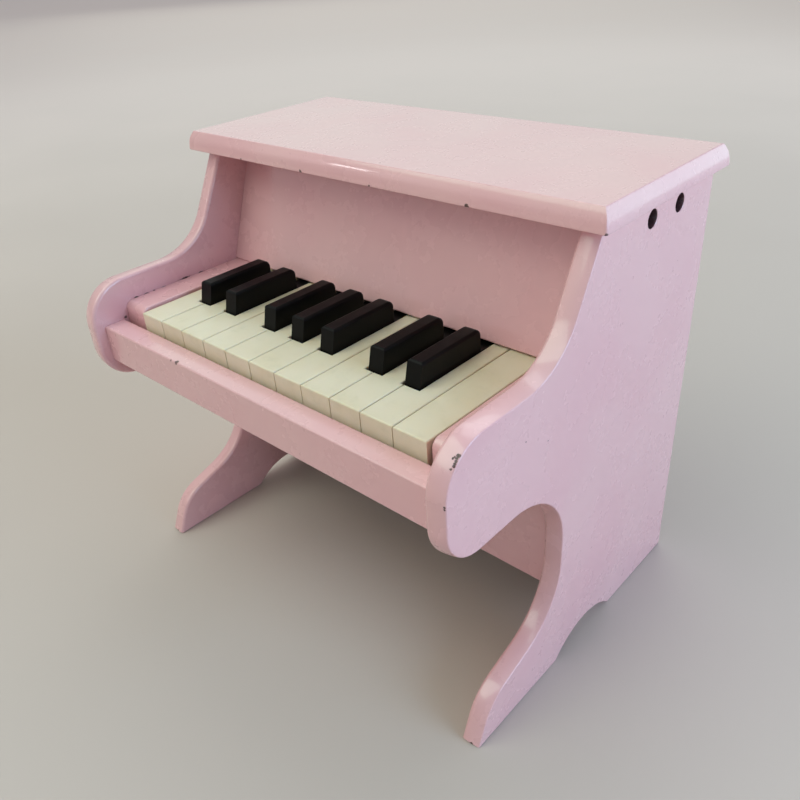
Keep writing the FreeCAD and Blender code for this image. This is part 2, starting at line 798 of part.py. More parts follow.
def write_parts():
    """Check every object and every sub-part, then write the sub-parts."""
    doc.recompute()
    for thing in doc.Objects:
        if "Invalid" in thing.State or "Error" in thing.State:
            raise RuntimeError(thing.Label + " failed: " + ", ".join(thing.State))
    for thing in nodes:
        if thing.Shape.isNull() or not thing.Shape.isValid() or not thing.Shape.Solids:
            raise RuntimeError(thing.Label + " has no valid solid")
    os.makedirs("parts", exist_ok=True)
    for thing in nodes:
        thing.Shape.exportStep(os.path.join("parts", thing.Label + ".step"))
    print(len(nodes), "sub-parts written")


side_panel("left_side_panel", "-case_width / 2", "right")
side_panel("right_side_panel", "case_width / 2 - side_thick", "left")
lid()
fallboard()
key_slip()
cheek_blocks()
boards()
keys_and_hammers()
action_frame()
chimes()
stops()
write_parts()
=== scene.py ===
"""Looks of a pink wooden toy piano with eighteen keys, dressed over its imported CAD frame.

Pieces are in millimetres until a mesh is made. Reliefs, floor, lights and camera are in metres.
Depths run forward from the rear edge of the sides.
"""

import logging
import math
from dataclasses import dataclass, replace
from enum import Enum
from typing import Optional, Sequence, Union

import bmesh
import bpy
from mathutils import Matrix, Vector


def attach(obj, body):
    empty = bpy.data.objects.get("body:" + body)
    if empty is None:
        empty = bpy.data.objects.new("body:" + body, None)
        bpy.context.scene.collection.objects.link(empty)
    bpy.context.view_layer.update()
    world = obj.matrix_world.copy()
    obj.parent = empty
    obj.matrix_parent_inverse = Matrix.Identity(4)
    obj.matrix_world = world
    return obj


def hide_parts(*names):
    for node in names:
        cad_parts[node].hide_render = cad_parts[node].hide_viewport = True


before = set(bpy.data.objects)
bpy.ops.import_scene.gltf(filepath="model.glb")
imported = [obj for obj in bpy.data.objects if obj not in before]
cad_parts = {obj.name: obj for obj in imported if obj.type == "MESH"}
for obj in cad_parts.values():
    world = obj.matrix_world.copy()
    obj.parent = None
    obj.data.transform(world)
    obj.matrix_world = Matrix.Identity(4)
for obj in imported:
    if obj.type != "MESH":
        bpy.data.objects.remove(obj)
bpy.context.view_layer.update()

LOG = logging.getLogger("toy_piano")
MM = 0.001
REAR_EDGE = 112.8
# Sine of the turn from which a corner is mitred when its outline is drawn in.
SHARP_TURN = 0.3
# Radius that a drawn-in corner keeps at least.
LEAST_RADIUS = 0.02
# Tilt, in radians, within which the wall of a hole counts as its bore, which gets the painted shade of the
# hole.
BORE_TILT = 0.7

Material = bpy.types.Material
Socket = bpy.types.NodeSocket
Colour = tuple[float, float, float, float]
Triple = tuple[float, float, float]
Pair = tuple[float, float]
Plug = Union[Socket, float, Sequence[float]]
Plugs = dict[Union[str, int], Plug]


def paint_code(red: int, green: int, blue: int) -> Colour:
    """Turn display levels, from 0 to 255, into the linear colour that shaders use."""
    levels = [level / 255 for level in (red, green, blue)]
    linear = [v / 12.92 if v <= 0.04045 else ((v + 0.055) / 1.055) ** 2.4 for v in levels]
    return (linear[0], linear[1], linear[2], 1.0)


def spot(x: float, fwd: float, z: float) -> Vector:
    """Give a place on the piano as a point of the frame.

    Args:
        x: Distance to the player's right of the middle.
        fwd: Distance forward of the rear edge.
        z: Height above the floor.

    Returns:
        The point, in metres.
    """
    return Vector((x, REAR_EDGE - fwd, z)) * MM


class Axis(Enum):
    """The way that a board's thickness runs, with its face drawn in the other two directions."""

    ACROSS = "x"
    LEFTWARD = "-x"
    UP = "z"
    DEEP = "fwd"

    def order(self, u: float, v: float, w: float) -> Triple:
        """Give two coordinates on the face and one along the thickness as x, forward and upward ones."""
        if self is Axis.ACROSS:
            return (w, u, v)
        if self is Axis.LEFTWARD:
            return (-w, u, v)
        if self is Axis.UP:
            return (u, v, w)
        return (u, w, v)

    def place(self, u: float, v: float, w: float) -> Vector:
        """Put a point of the board into the frame, in metres."""
        return spot(*self.order(u, v, w))

    def turn(self, u: float, v: float, w: float) -> Vector:
        """Turn a direction on the board into one of the frame, of length one."""
        x, fwd, z = self.order(u, v, w)
        return Vector((x, -fwd, z)).normalized()


@dataclass(frozen=True)
class Corner:
    """A corner of a board's face, the radius that rounds it, and the ease of the edge that follows."""

    u: float
    v: float
    radius: float = 0.6
    steps: int = 3
    ease: float = 1.0


@dataclass
class Outline:
    """A closed outline of corners, listed with the board on the left."""

    corners: Sequence[Corner]

    def ring(self, inset: float) -> tuple[list[Vector], list[Vector]]:
        """Draw the outline, drawn in by a distance where its edges are eased.

        Args:
            inset: How far the eased edges move inwards.

        Returns:
            The points and the outward directions at them.
        """
        points: list[Vector] = []
        outward: list[Vector] = []
        count = len(self.corners)
        for i, corner in enumerate(self.corners):
            before, after = self.corners[i - 1], self.corners[(i + 1) % count]
            here = Vector((corner.u, corner.v))
            way_in = (here - Vector((before.u, before.v))).normalized()
            way_out = (Vector((after.u, after.v)) - here).normalized()
            out_in = Vector((way_in.y, -way_in.x))
            out_out = Vector((way_out.y, -way_out.x))
            cross = way_in.x * way_out.y - way_in.y * way_out.x
            first, second = inset * before.ease, inset * corner.ease
            if abs(cross) > SHARP_TURN:
                here = here + (way_out * first - way_in * second) / cross
            else:
                here = here - (out_in + out_out) * (first + second) / 2 / (1 + out_in.dot(out_out))
            turn = math.atan2(cross, way_in.dot(way_out))
            if corner.steps == 0:
                points.append(here)
                outward.append((out_in + out_out).normalized())
                continue
            bulge = 1 if turn > 0 else -1
            radius = max(corner.radius - bulge * inset * max(before.ease, corner.ease), LEAST_RADIUS)
            start = here - way_in * radius * math.tan(abs(turn) / 2)
            centre = start - out_in * radius * bulge
            for step in range(corner.steps + 1):
                aim = Matrix.Rotation(turn * step / corner.steps, 2) @ out_in
                points.append(centre + aim * radius * bulge)
                outward.append(aim)
        return points, outward


@dataclass(frozen=True)
class RoundHole:
    """A drilled hole through a board."""

    u: float
    v: float
    radius: float
    ease: float = 0.3
    steps: int = 40

    def ring(self, inset: float) -> tuple[list[Vector], list[Vector]]:
        """Draw the hole's rim, widened as the board's edge is drawn in, and the ways out of the board."""
        points: list[Vector] = []
        outward: list[Vector] = []
        radius = self.radius + inset * self.ease
        for step in range(self.steps):
            angle = -2 * math.pi * step / self.steps
            aim = Vector((math.cos(angle), math.sin(angle)))
            points.append(Vector((self.u, self.v)) + aim * radius)
            outward.append(-aim)
        return points, outward


@dataclass
class Board:
    """A flat board with rounded edges, with the softness of each edge kept in an attribute.

    A lean bows the whole edge, upright at the low face and leaning in by that angle at the high one.
    """

    outline: Outline
    axis: Axis
    low: float
    high: float
    low_round: float = 0.8
    high_round: float = 0.8
    holes: Sequence[RoundHole] = ()
    steps: int = 6
    lean: float = 0.0

    def layers(self) -> list[tuple[float, float, float, float]]:
        """Plan the rings of the edge from the low face to the high one.

        Returns:
            For each ring its inset, its place in the thickness, its tilt and its softness.
        """
        plan: list[tuple[float, float, float, float]] = []
        quarter, shoulder = math.pi / 2, math.radians(self.lean)
        for step in range(self.steps + 1):
            tilt = quarter * step / self.steps - quarter
            inset = self.low_round * (1 - math.cos(tilt))
            place = self.low + self.low_round * (1 + math.sin(tilt))
            plan.append((inset, place, tilt, -math.sin(2 * tilt)))
        rise = self.high - self.low - self.low_round - self.high_round * (1 - math.sin(shoulder))
        sweep = rise / math.sin(shoulder) if self.lean else 0.0
        for step in range(1, self.steps if self.lean else 0):
            tilt = shoulder * step / self.steps
            place = self.low + self.low_round + sweep * math.sin(tilt)
            plan.append((sweep * (1 - math.cos(tilt)), place, tilt, 0.0))
        bow = sweep * (1 - math.cos(shoulder))
        for step in range(self.steps + 1):
            tilt = shoulder + (quarter - shoulder) * step / self.steps
            inset = bow + self.high_round * (math.cos(shoulder) - math.cos(tilt))
            place = self.high - self.high_round * (1 - math.sin(tilt))
            plan.append((inset, place, tilt, math.sin(2 * tilt)))
        return plan

    def mesh(self, name: str) -> bpy.types.Mesh:
        """Build the board as a closed mesh in metres, with smooth edges and flat faces."""
        work = bmesh.new()
        softness = work.verts.layers.float.new("edge")
        shaded_bore_layer = work.verts.layers.float.new("shaded_bore")
        aims: list[Vector] = []
        rims: tuple[list[bmesh.types.BMEdge], list[bmesh.types.BMEdge]] = ([], [])
        for loop in (self.outline, *self.holes):
            rings: list[list[bmesh.types.BMVert]] = []
            for inset, place, tilt, soft in self.layers():
                ring: list[bmesh.types.BMVert] = []
                for point, out in zip(*loop.ring(inset)):
                    vert = work.verts.new(self.axis.place(point.x, point.y, place))
                    vert[softness] = soft
                    # Hole walls are marked for the dark bore colour, painted shade inside the hole over
                    # unpainted board.
                    vert[shaded_bore_layer] = float(loop is not self.outline and abs(tilt) < BORE_TILT)
                    flat = math.cos(tilt)
                    aims.append(self.axis.turn(out.x * flat, out.y * flat, math.sin(tilt)))
                    ring.append(vert)
                rings.append(ring)
            for lower, upper in zip(rings, rings[1:]):
                for i in range(len(lower)):
                    j = (i + 1) % len(lower)
                    work.faces.new((lower[i], lower[j], upper[j], upper[i]))
            for rim, ring in zip(rims, (rings[0], rings[-1])):
                rim.extend(work.edges.get((ring[i - 1], ring[i])) for i in range(len(ring)))
        for rim in rims:
            bmesh.ops.triangle_fill(work, use_beauty=True, edges=rim)
        bmesh.ops.recalc_face_normals(work, faces=work.faces)
        mesh = bpy.data.meshes.new(name)
        work.to_mesh(mesh)
        work.free()
        mesh.polygons.foreach_set("use_smooth", [True] * len(mesh.polygons))
        mesh.normals_split_custom_set_from_vertices(aims)
        return mesh


class NodeBench:
    """Places and joins the nodes of one tree."""

    def __init__(self, tree: bpy.types.NodeTree) -> None:
        """Take the tree to work on."""
        self.tree = tree

    def plug(self, socket: Socket, value: Plug) -> None:
        """Link a socket, or set it where the value is plain."""
        if isinstance(value, Socket):
            self.tree.links.new(value, socket)
        else:
            socket.default_value = value

    def add(self, kind: str, plugs: Plugs, **settings: object) -> bpy.types.Node:
        """Place a node.

        Args:
            kind: Blender's name for the type of node.
            plugs: Values or sockets for its inputs.
            **settings: Properties of the node.

        Returns:
            The new node.
        """
        node = self.tree.nodes.new(kind)
        for name, value in settings.items():
            setattr(node, name, value)
        for key, value in plugs.items():
            self.plug(node.inputs[key], value)
        return node

    def out(self, kind: str, plugs: Plugs, **settings: object) -> Socket:
        """Place a node and take its first output."""
        return self.add(kind, plugs, **settings).outputs[0]

    def math(self, operation: str, first: Plug, second: Plug = 0.0, third: Plug = 0.0) -> Socket:
        """Work out a number from up to three others."""
        return self.out("ShaderNodeMath", {0: first, 1: second, 2: third}, operation=operation)


@dataclass(frozen=True)
class Clouds:
    """A cloudy pattern: clouds in a metre, octaves of finer clouds, and how strong those are."""

    scale: float
    detail: float
    rough: float = 0.5


class ShaderBench(NodeBench):
    """A new material with one surface shader, and the piece's own coordinates."""

    def __init__(self, name: str) -> None:
        """Make the material and clear its tree."""
        self.material = bpy.data.materials.new(name)
        self.material.use_nodes = True
        super().__init__(self.material.node_tree)
        self.tree.nodes.clear()
        self.here = self.add("ShaderNodeTexCoord", {}).outputs["Object"]

    def attribute(self, name: str) -> Socket:
        """Read a number kept on the board's mesh."""
        return self.add("ShaderNodeAttribute", {}, attribute_name=name).outputs["Fac"]

    def noise(self, clouds: Clouds, where: Optional[Socket] = None) -> Socket:
        """Read a pattern, about one half on average, at the piece's own coordinates or at others."""
        place = self.here if where is None else where
        plugs = {"Vector": place, "Scale": clouds.scale, "Detail": clouds.detail, "Roughness": clouds.rough}
        return self.out("ShaderNodeTexNoise", plugs)

    def ease(self, value: Plug, low: float, high: float, start: float = 0.0, end: float = 1.0) -> Socket:
        """Run smoothly from a start to an end while a value rises from low to high."""
        plugs = {"Value": value, "From Min": low, "From Max": high, "To Min": start, "To Max": end}
        return self.out("ShaderNodeMapRange", plugs, interpolation_type="SMOOTHSTEP")

    def blend(self, share: Plug, first: Plug, second: Plug) -> Socket:
        """Mix two colours, with a share of the second."""
        return self.add("ShaderNodeMix", {0: share, 6: first, 7: second}, data_type="RGBA").outputs[2]

    def relief(self, height: Plug) -> Socket:
        """Turn a height in metres into a bumped normal."""
        plugs = {"Height": height, "Distance": 1.0, "Strength": 1.0}
        return self.out("ShaderNodeBump", plugs)

    def size(self, vector: Socket) -> Socket:
        """Measure a vector's length."""
        return self.add("ShaderNodeVectorMath", {0: vector}, operation="LENGTH").outputs["Value"]

    def along(self, stretch: Triple) -> Socket:
        """Scale the piece's coordinates, so that patterns run along one of them."""
        return self.out("ShaderNodeMapping", {"Vector": self.here, "Scale": stretch})

    def surface(self, plugs: Plugs) -> Material:
        """Give the material its surface shader and hand it over."""
        shader = self.add("ShaderNodeBsdfPrincipled", plugs)
        self.add("ShaderNodeOutputMaterial", {"Surface": shader.outputs[0]})
        return self.material


@dataclass(frozen=True)
class Chip:
    """A place where the paint has come away from the board."""

    x: float
    fwd: float
    z: float
    reach: float
    length: float = 1.0

    def distance(self, bench: ShaderBench) -> Socket:
        """Measure how far the surface is from the middle, with the depth shortened by the chip's length."""
        middle = spot(self.x, self.fwd, self.z)
        offset = bench.out("ShaderNodeVectorMath", {0: bench.here, 1: middle}, operation="SUBTRACT")
        shape = (1.0, 1 / self.length, 1.0)
        scaled = bench.out("ShaderNodeVectorMath", {0: offset, 1: shape}, operation="MULTIPLY")
        return bench.size(scaled)


@dataclass(frozen=True)
class PaintFinish:
    """Glossy pale pink enamel sprayed over fibreboard, with a faint orange peel."""

    colour: Colour = paint_code(228, 177, 179)
    deeper: Colour = paint_code(226, 171, 175)
    board: Colour = paint_code(76, 46, 43)
    primer: Colour = paint_code(120, 92, 89)
    # Dark colour of the sound holes' walls: unpainted board and the shade inside the holes, painted in as
    # one colour.
    shaded_bore: Colour = paint_code(70, 46, 50)
    roughness: Pair = (0.23, 0.33)
    bare_roughness: float = 0.55
    coat: float = 0.65
    coat_roughness: float = 0.07
    index: float = 1.5
    film: float = 1.6e-4
    peel: float = 2e-6
    peel_clouds: Clouds = Clouds(420, 1)
    waves: float = 3e-5
    wave_clouds: Clouds = Clouds(75, 1)
    tones: Clouds = Clouds(14, 3)
    tone_run: Pair = (0.35, 0.7)
    smears: Clouds = Clouds(45, 4, 0.6)
    smear_run: Pair = (0.3, 0.75)
    crumbs: Clouds = Clouds(1400, 3)
    crumb_run: Pair = (0.4, 0.62)
    flecks: Clouds = Clouds(170, 4, 0.6)
    fleck_start: float = 0.8
    fleck_pull: float = 0.1
    fleck_fade: float = 0.04
    frays: Clouds = Clouds(700, 3, 0.65)
    ragged: float = 0.8
    chip_fade: float = 0.8

    def material(self, name: str, chips: Sequence[Chip] = (), fleck: float = 0.5) -> Material:
        """Make the paint of one piece.

        Args:
            name: Name of the material.
            chips: Places where the paint has come off.
            fleck: How readily the eased edges show small flecks.

        Returns:
            The material.
        """
        bench = ShaderBench(name)
        share = bench.ease(bench.noise(self.tones), *self.tone_run)
        tone = bench.blend(share, self.colour, self.deeper)
        first = self.fleck_start - self.fleck_pull * fleck
        flecks = bench.ease(bench.noise(self.flecks), first, first + self.fleck_fade)
        worn = bench.math("MULTIPLY", bench.attribute("edge"), flecks)
        for chip in chips:
            reach = chip.reach * MM
            tear = self.ragged * reach
            frayed = bench.noise(replace(self.frays, scale=self.frays.scale / chip.reach))
            torn = bench.math("MULTIPLY_ADD", frayed, 2 * tear, -tear)
            edge = bench.math("ADD", chip.distance(bench), torn)
            worn = bench.math("MAXIMUM", worn, bench.ease(edge, reach, self.chip_fade * reach))
        crumbs = bench.ease(bench.noise(self.crumbs), *self.crumb_run)
        skin = bench.blend(worn, tone, bench.blend(crumbs, self.board, self.primer))
        gloss = bench.ease(bench.noise(self.smears), *self.smear_run, *self.roughness)
        peel = bench.math("MULTIPLY", bench.noise(self.peel_clouds), self.peel)
        waves = bench.math("MULTIPLY", bench.noise(self.wave_clouds), self.waves)
        film = bench.math("MULTIPLY", worn, -self.film)
        normal = bench.relief(bench.math("ADD", bench.math("ADD", peel, waves), film))
        return bench.surface({
            # Hole walls take the dark bore colour, painted shade inside the sound holes.
            "Base Color": bench.blend(bench.attribute("shaded_bore"), skin, self.shaded_bore),
            "Roughness": bench.math("MULTIPLY_ADD", worn, self.bare_roughness, gloss),
            "Normal": normal,
            "Coat Normal": normal,
            "Coat Weight": self.coat,
            "Coat Roughness": self.coat_roughness,
            "IOR": self.index,
        })


@dataclass(frozen=True)
class PlasticFinish:
    """Moulded plastic with a satin skin, handled and a little marked."""

    name: str
    colour: Colour
    tint: Colour
    grime: Colour
    roughness: Pair
    grain: float = 6e-6
    pits: float = 0.0
    shine: float = 0.5
    glow: float = 0.0
    glow_tint: Triple = (1.0, 0.75, 0.45)
    glow_depth: float = 1.5
    tones: Clouds = Clouds(22, 3)
    tone_run: Pair = (0.35, 0.68)
    smears: Clouds = Clouds(90, 4, 0.65)
    smear_run: Pair = (0.3, 0.75)
    handled_run: Pair = (0.5, 0.8)
    handled_share: float = 0.35
    grains: Clouds = Clouds(1500, 2)
    pit_scale: float = 260.0
    pit_run: Pair = (0.05, 0.16)

    def material(self) -> Material:
        """Make the plastic."""
        bench = ShaderBench(self.name)
        share = bench.ease(bench.noise(self.tones), *self.tone_run)
        tone = bench.blend(share, self.colour, self.tint)
        smear = bench.noise(self.smears)
        handled = bench.ease(smear, *self.handled_run, 0.0, self.handled_share)
        skin = bench.math("MULTIPLY", bench.noise(self.grains), self.grain)
        specks = bench.add("ShaderNodeTexVoronoi", {"Vector": bench.here, "Scale": self.pit_scale})
        dents = bench.ease(specks.outputs["Distance"], *self.pit_run, -self.pits, 0.0)
        return bench.surface({
            "Base Color": bench.blend(handled, tone, self.grime),
            "Roughness": bench.ease(smear, *self.smear_run, *self.roughness),
            "Normal": bench.relief(bench.math("ADD", skin, dents)),
            "Specular IOR Level": self.shine,
            "Subsurface Weight": self.glow,
            "Subsurface Radius": self.glow_tint,
            "Subsurface Scale": self.glow_depth * MM,
        })


@dataclass(frozen=True)
class WoodFinish:
    """Unpainted wood or board with its grain along one direction."""

    name: str
    pale: Colour
    dark: Colour
    stretch: Triple
    roughness: Pair = (0.56, 0.7)
    relief: float = 4e-5
    bands: Clouds = Clouds(60, 4, 0.6)
    band_share: float = 0.65
    grain_run: Pair = (0.34, 0.66)
    fibres: Clouds = Clouds(420, 3, 0.7)
    fibre_run: Pair = (0.3, 0.7)

    def material(self) -> Material:
        """Make the wood."""
        bench = ShaderBench(self.name)
        along = bench.along(self.stretch)
        bands = bench.noise(self.bands, along)
        fibres = bench.noise(self.fibres, along)
        rest = bench.math("MULTIPLY", fibres, 1 - self.band_share)
        grain = bench.math("MULTIPLY_ADD", bands, self.band_share, rest)
        tone = bench.blend(bench.ease(grain, *self.grain_run), self.pale, self.dark)
        height = bench.math("MULTIPLY", grain, -self.relief)
        return bench.surface({
            "Base Color": tone,
            "Roughness": bench.ease(fibres, *self.fibre_run, *self.roughness),
            "Normal": bench.relief(height),
        })


@dataclass(frozen=True)
class FeltFinish:
    """Pressed wool felt, dull and slightly furry."""

    name: str = "pressed_felt"
    colour: Colour = paint_code(120, 34, 38)
    fluff: Colour = paint_code(152, 58, 60)
    roughness: Pair = (0.85, 0.97)
    sheen: float = 0.4
    hair: float = 1.2e-4
    hairs: Clouds = Clouds(1100, 4, 0.7)
    hair_run: Pair = (0.35, 0.7)
    clump: float = 2e-4
    clumps: Clouds = Clouds(160, 3, 0.6)
    clump_run: Pair = (0.3, 0.7)

    def material(self) -> Material:
        """Make the felt."""
        bench = ShaderBench(self.name)
        hairs = bench.noise(self.hairs)
        clumps = bench.noise(self.clumps)
        height = bench.math("MULTIPLY_ADD", hairs, self.hair, bench.math("MULTIPLY", clumps, self.clump))
        return bench.surface({
            "Base Color": bench.blend(bench.ease(hairs, *self.hair_run), self.colour, self.fluff),
            "Roughness": bench.ease(clumps, *self.clump_run, *self.roughness),
            "Sheen Weight": self.sheen,
            "Normal": bench.relief(height),
        })


@dataclass(frozen=True)
class MetalFinish:
    """Bare metal with drawn streaks and a little dulling."""

    name: str
    colour: Colour
    dull: Colour
    stretch: Triple
    roughness: Pair
    streak: float = 6e-6
    streaks: Clouds = Clouds(900, 3, 0.6)
    streak_run: Pair = (0.3, 0.7)
    stains: Clouds = Clouds(120, 4, 0.6)
    stain_run: Pair = (0.45, 0.75)

    def material(self) -> Material:
        """Make the metal."""
        bench = ShaderBench(self.name)
        streaks = bench.noise(self.streaks, bench.along(self.stretch))
        stains = bench.ease(bench.noise(self.stains), *self.stain_run)
        return bench.surface({
            "Base Color": bench.blend(stains, self.colour, self.dull),
            "Roughness": bench.ease(streaks, *self.streak_run, *self.roughness),
            "Metallic": 1.0,
            "Normal": bench.relief(bench.math("MULTIPLY", streaks, self.streak)),
        })


@dataclass(frozen=True)
class FloorFinish:
    """Plain pale floor with a faint mottle, darker near the piano as painted shade round it, paler away from
    it.
    """

    # Darker floor round the piano: painted shade, which also throws back less light onto the piano's lower
    # parts.
    shaded_near: Colour = paint_code(193, 177, 170)
    far: Colour = paint_code(248, 231, 226)
    reach: Pair = (0.4, 2.6)
    roughness: Pair = (0.6, 0.7)
    mottle: float = 0.3
    clouds: Clouds = Clouds(3, 3)
    cloud_run: Pair = (0.3, 0.7)

    def material(self) -> Material:
        """Make the floor's surface."""
        bench = ShaderBench("pale_floor")
        clouds = bench.noise(self.clouds)
        mottled = bench.math("MULTIPLY_ADD", clouds, self.mottle, bench.size(bench.here))
        return bench.surface({
            # Blends from the painted shade near the piano out to the pale floor.
            "Base Color": bench.blend(bench.ease(mottled, *self.reach), self.shaded_near, self.far),
            "Roughness": bench.ease(clouds, *self.cloud_run, *self.roughness),
        })


def link(name: str, content: bpy.types.ID) -> bpy.types.Object:
    """Make an object and add it to the scene."""
    thing = bpy.data.objects.new(name, content)
    bpy.context.scene.collection.objects.link(thing)
    return thing


def settle(name: str, mesh: bpy.types.Mesh, material: Material, slot: str, *nodes: str) -> None:
    """Put a finished piece on the case in place of its CAD nodes.

    Args:
        name: Name of the piece.
        mesh: Its mesh, already in place.
        material: Its finish.
        slot: The record's slot for that finish; not used.
        *nodes: CAD nodes that it stands for.
    """
    piece = link(name, mesh)
    mesh.materials.clear()
    mesh.materials.append(material)
    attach(piece, "case")
    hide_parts(*nodes)
    LOG.info("%s: %d faces, for %s", name, len(mesh.polygons), ", ".join(nodes))


def numbered(stem: str, count: int) -> list[str]:
    """List the names of numbered nodes, which count from one."""
    return [f"{stem}_{number:02d}" for number in range(1, count + 1)]


def dress(nodes: Sequence[str], material: Material) -> None:
    """Give CAD nodes that keep their shape a better finish."""
    for name in nodes:
        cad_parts[name].material_slots[0].material = material
    LOG.info("%s on %d nodes", material.name, len(nodes))


class RuleTree(NodeBench):
    """A Geometry Nodes tree with named inputs, whose result becomes a plain mesh."""

    def __init__(self, name: str, material: Material, place: Vector, count: int, **lengths: float) -> None:
        """Make the tree and its inputs.

        Args:
            name: Name of the tree.
            material: Finish of the result.
            place: Where the result stands, in metres.
            count: Number of copies in it.
            **lengths: Lengths that shape it.
        """
        super().__init__(bpy.data.node_groups.new(name, "GeometryNodeTree"))
        sizes = {title: length * MM for title, length in lengths.items()}
        self.values = {"material": material, "place": place, "count": count, **sizes}
        kinds = {int: "Int", float: "Float", Vector: "Vector", Material: "Material"}
        self.tree.interface.new_socket("Geometry", in_out="OUTPUT", socket_type="NodeSocketGeometry")
        for title, value in self.values.items():
            kind = "NodeSocket" + kinds[type(value)]
            self.tree.interface.new_socket(title, in_out="INPUT", socket_type=kind)
        self.given = self.add("NodeGroupInput", {}).outputs

    def join(self, *parts: Socket) -> Socket:
        """Join several geometries."""
        node = self.add("GeometryNodeJoinGeometry", {})
        for part in parts:
            self.tree.links.new(part, node.inputs[0])
        return node.outputs[0]

    def vector(self, x: Plug = 0.0, y: Plug = 0.0, z: Plug = 0.0) -> Socket:
        """Make a vector from three numbers."""
        return self.out("ShaderNodeCombineXYZ", {0: x, 1: y, 2: z})

    def move(self, geometry: Socket, shift: Plug, turn: Plug = (0, 0, 0)) -> Socket:
        """Turn a geometry about each axis, then move it."""
        plugs = {"Geometry": geometry, "Translation": shift, "Rotation": turn}
        return self.out("GeometryNodeTransform", plugs)

    def rod(self, radius: Plug, depth: Plug, sides: int) -> Socket:
        """Make an upright rod about the origin."""
        plugs = {"Vertices": sides, "Radius": radius, "Depth": depth}
        return self.out("GeometryNodeMeshCylinder", plugs)

    def dome(self, radius: Plug, height: Plug, sides: int, middle: Plug = (0, 0, 0)) -> Socket:
        """Make a flattened ball, from half of its width and half of its height."""
        plain = {"Segments": sides, "Rings": sides // 2, "Radius": 1.0}
        ball = self.out("GeometryNodeMeshUVSphere", plain)
        size = self.vector(radius, radius, height)
        return self.out("GeometryNodeTransform", {"Geometry": ball, "Scale": size, "Translation": middle})

    def spread(self, shape: Socket, where: Plug, size: Plug = (1, 1, 1)) -> Socket:
        """Put copies of a shape in their places, each at its own size."""
        row = self.out("GeometryNodeMeshLine", {"Count": self.given["count"]})
        placed = self.out("GeometryNodeSetPosition", {"Geometry": row, "Position": where})
        plugs = {"Points": placed, "Instance": shape, "Scale": size}
        return self.out("GeometryNodeInstanceOnPoints", plugs)

    def finish(self, geometry: Socket) -> bpy.types.Mesh:
        """Stand the instances in their place, run the tree once and take its result as a plain mesh."""
        stood = self.move(geometry, self.given["place"])
        real = self.out("GeometryNodeRealizeInstances", {0: stood})
        painted = self.out("GeometryNodeSetMaterial", {0: real, "Material": self.given["material"]})
        self.add("NodeGroupOutput", {0: painted})
        host = link(self.tree.name, bpy.data.meshes.new(self.tree.name))
        modifier = host.modifiers.new(self.tree.name, "NODES")
        modifier.node_group = self.tree
        for item in self.tree.interface.items_tree:
            if item.in_out == "INPUT":
                modifier[item.identifier] = self.values[item.name]
        graph = bpy.context.evaluated_depsgraph_get()
        mesh = bpy.data.meshes.new_from_object(host.evaluated_get(graph), depsgraph=graph)
        host.modifiers.clear()
        bpy.data.objects.remove(host)
        return mesh


